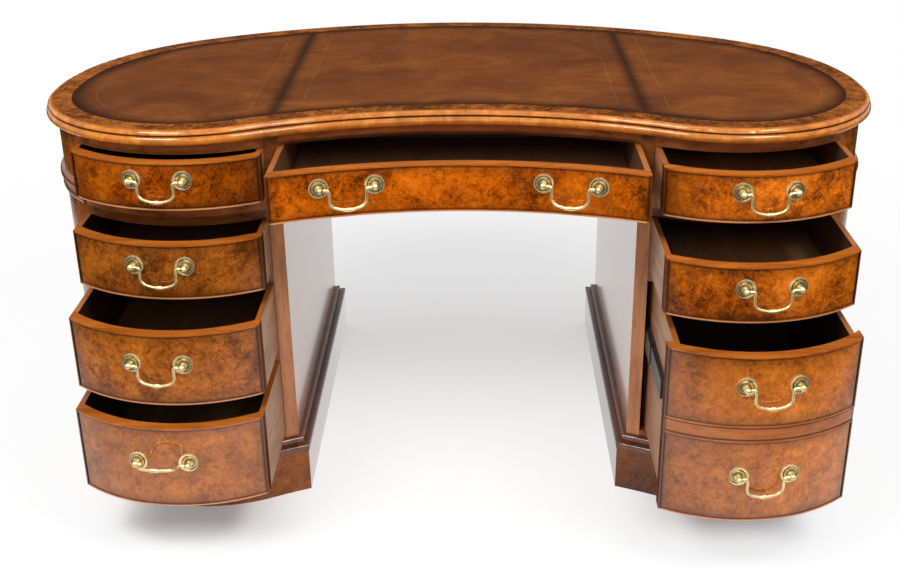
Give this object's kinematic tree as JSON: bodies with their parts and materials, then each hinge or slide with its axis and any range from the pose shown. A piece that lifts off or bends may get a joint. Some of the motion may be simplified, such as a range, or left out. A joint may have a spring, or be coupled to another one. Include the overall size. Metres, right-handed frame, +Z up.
{
  "type": "kidney-shaped desk",
  "caption": "Kidney-shaped walnut pedestal desk with a leather top, bowed and hollow drawer fronts, a deep filing drawer on slides and brass swan-neck handles.",
  "frame": {"origin": "middle of the plan's bounding box, on the floor", "axes": "+X to the right of someone facing the drawers, +Y from the drawers to the back, +Z up"},
  "size_m": [1.599, 1.1456, 0.778],
  "materials": {
    "burr_walnut": "gloss polish over burr veneer",
    "walnut": "polished straight grain",
    "drawer_lining": "satin",
    "core_board": "plain",
    "leather": "waxed, tooled in gilt",
    "brass": "polished",
    "black_steel": "black"
  },
  "bodies": {
    "carcass": {"top_core_board": "core_board", "top_crossband": "burr_walnut", "top_edge_moulding": "walnut", "leather_centre": "leather", "left_leather": "leather", "right_leather": "leather", "frieze_shell": "burr_walnut", "waist_moulding": "walnut", "frieze_rails": "walnut", "frieze_partitions": "walnut", "frieze_runners": "drawer_lining", "left_pedestal_side": "burr_walnut", "right_pedestal_side": "burr_walnut", "left_pedestal_shell": "burr_walnut", "right_pedestal_shell": "burr_walnut", "left_plinth": "walnut", "right_plinth": "walnut", "left_plinth_moulding": "walnut", "right_plinth_moulding": "walnut", "left_pedestal_boards": "walnut", "right_pedestal_boards": "walnut", "left_pedestal_rails": "walnut", "right_pedestal_rails": "walnut", "file_slide_outer": "black_steel"},
    "left_1_drawer": {"left_1_drawer_front": "burr_walnut", "left_1_drawer_box": "drawer_lining", "left_1_handle_mounts": "brass"},
    "left_1_bail": {"left_1_bail": "brass"},
    "left_2_drawer": {"left_2_drawer_front": "burr_walnut", "left_2_drawer_box": "drawer_lining", "left_2_handle_mounts": "brass"},
    "left_2_bail": {"left_2_bail": "brass"},
    "left_3_drawer": {"left_3_drawer_front": "burr_walnut", "left_3_drawer_box": "drawer_lining", "left_3_handle_mounts": "brass"},
    "left_3_bail": {"left_3_bail": "brass"},
    "left_4_drawer": {"left_4_drawer_front": "burr_walnut", "left_4_drawer_box": "drawer_lining", "left_4_handle_mounts": "brass"},
    "left_4_bail": {"left_4_bail": "brass"},
    "right_1_drawer": {"right_1_drawer_front": "burr_walnut", "right_1_drawer_box": "drawer_lining", "right_1_handle_mounts": "brass"},
    "right_1_bail": {"right_1_bail": "brass"},
    "right_2_drawer": {"right_2_drawer_front": "burr_walnut", "right_2_drawer_box": "drawer_lining", "right_2_handle_mounts": "brass"},
    "right_2_bail": {"right_2_bail": "brass"},
    "centre_drawer": {"centre_drawer_front": "burr_walnut", "centre_drawer_box": "drawer_lining", "centre_handle_mounts": "brass"},
    "centre_left_bail": {"centre_left_bail": "brass"},
    "centre_right_bail": {"centre_right_bail": "brass"},
    "file_drawer": {"file_drawer_front": "burr_walnut", "file_drawer_box": "drawer_lining", "file_handle_mounts": "brass", "file_slide_inner": "black_steel"},
    "file_upper_bail": {"file_upper_bail": "brass"},
    "file_lower_bail": {"file_lower_bail": "brass"},
    "file_slide_middle": {"file_slide_middle": "black_steel"}
  },
  "joints": [
    {"name": "left_1_drawer_slide", "type": "slide", "parent": "carcass", "child": "left_1_drawer", "axis": [0, -1, 0], "range_m": [-0.044, 0.286]},
    {"name": "left_1_bail_swing", "type": "hinge", "parent": "left_1_drawer", "child": "left_1_bail", "pos_m": [-0.5343, -0.33318, 0.696], "axis": [-0.9956, 0.0933, 0], "range_deg": [-8, 120]},
    {"name": "left_2_drawer_slide", "type": "slide", "parent": "carcass", "child": "left_2_drawer", "axis": [0, -1, 0], "range_m": [-0.09, 0.24]},
    {"name": "left_2_bail_swing", "type": "hinge", "parent": "left_2_drawer", "child": "left_2_bail", "pos_m": [-0.5343, -0.37918, 0.552], "axis": [-0.9956, 0.0933, 0], "range_deg": [-8, 120]},
    {"name": "left_3_drawer_slide", "type": "slide", "parent": "carcass", "child": "left_3_drawer", "axis": [0, -1, 0], "range_m": [-0.178, 0.152]},
    {"name": "left_3_bail_swing", "type": "hinge", "parent": "left_3_drawer", "child": "left_3_bail", "pos_m": [-0.5343, -0.46718, 0.402], "axis": [-0.9956, 0.0933, 0], "range_deg": [-8, 120]},
    {"name": "left_4_drawer_slide", "type": "slide", "parent": "carcass", "child": "left_4_drawer", "axis": [0, -1, 0], "range_m": [-0.214, 0.116]},
    {"name": "left_4_bail_swing", "type": "hinge", "parent": "left_4_drawer", "child": "left_4_bail", "pos_m": [-0.5343, -0.50318, 0.2235], "axis": [-0.9956, 0.0933, 0], "range_deg": [-116, 12]},
    {"name": "right_1_drawer_slide", "type": "slide", "parent": "carcass", "child": "right_1_drawer", "axis": [0, -1, 0], "range_m": [-0.117, 0.213]},
    {"name": "right_1_bail_swing", "type": "hinge", "parent": "right_1_drawer", "child": "right_1_bail", "pos_m": [0.5343, -0.40618, 0.696], "axis": [-0.9956, -0.0933, 0], "range_deg": [-8, 120]},
    {"name": "right_2_drawer_slide", "type": "slide", "parent": "carcass", "child": "right_2_drawer", "axis": [0, -1, 0], "range_m": [-0.2, 0.13]},
    {"name": "right_2_bail_swing", "type": "hinge", "parent": "right_2_drawer", "child": "right_2_bail", "pos_m": [0.5343, -0.48918, 0.552], "axis": [-0.9956, -0.0933, 0], "range_deg": [-8, 120]},
    {"name": "centre_drawer_slide", "type": "slide", "parent": "carcass", "child": "centre_drawer", "axis": [0, -1, 0], "range_m": [-0.171, 0.159]},
    {"name": "centre_left_bail_swing", "type": "hinge", "parent": "centre_drawer", "child": "centre_left_bail", "pos_m": [-0.19231, -0.3708, 0.696], "axis": [-0.9742, -0.2256, 0], "range_deg": [-8, 120]},
    {"name": "centre_right_bail_swing", "type": "hinge", "parent": "centre_drawer", "child": "centre_right_bail", "pos_m": [0.19231, -0.3708, 0.696], "axis": [-0.9742, 0.2256, 0], "range_deg": [-8, 120]},
    {"name": "file_drawer_slide", "type": "slide", "parent": "carcass", "child": "file_drawer", "axis": [0, -1, 0], "range_m": [-0.273, 0.087]},
    {"name": "file_upper_bail_swing", "type": "hinge", "parent": "file_drawer", "child": "file_upper_bail", "pos_m": [0.5343, -0.56218, 0.4025], "axis": [-0.9956, -0.0933, 0], "range_deg": [-8, 120]},
    {"name": "file_lower_bail_swing", "type": "hinge", "parent": "file_drawer", "child": "file_lower_bail", "pos_m": [0.5343, -0.56218, 0.225], "axis": [-0.9956, -0.0933, 0], "range_deg": [-8, 120]},
    {"name": "file_slide_middle_slide", "type": "slide", "parent": "carcass", "child": "file_slide_middle", "axis": [0, -1, 0], "range_m": [-0.1365, 0.0435]}
  ],
  "couplings": [
    {"joint": "file_slide_middle_slide", "follows": "file_drawer_slide", "ratio": 0.5}
  ]
}
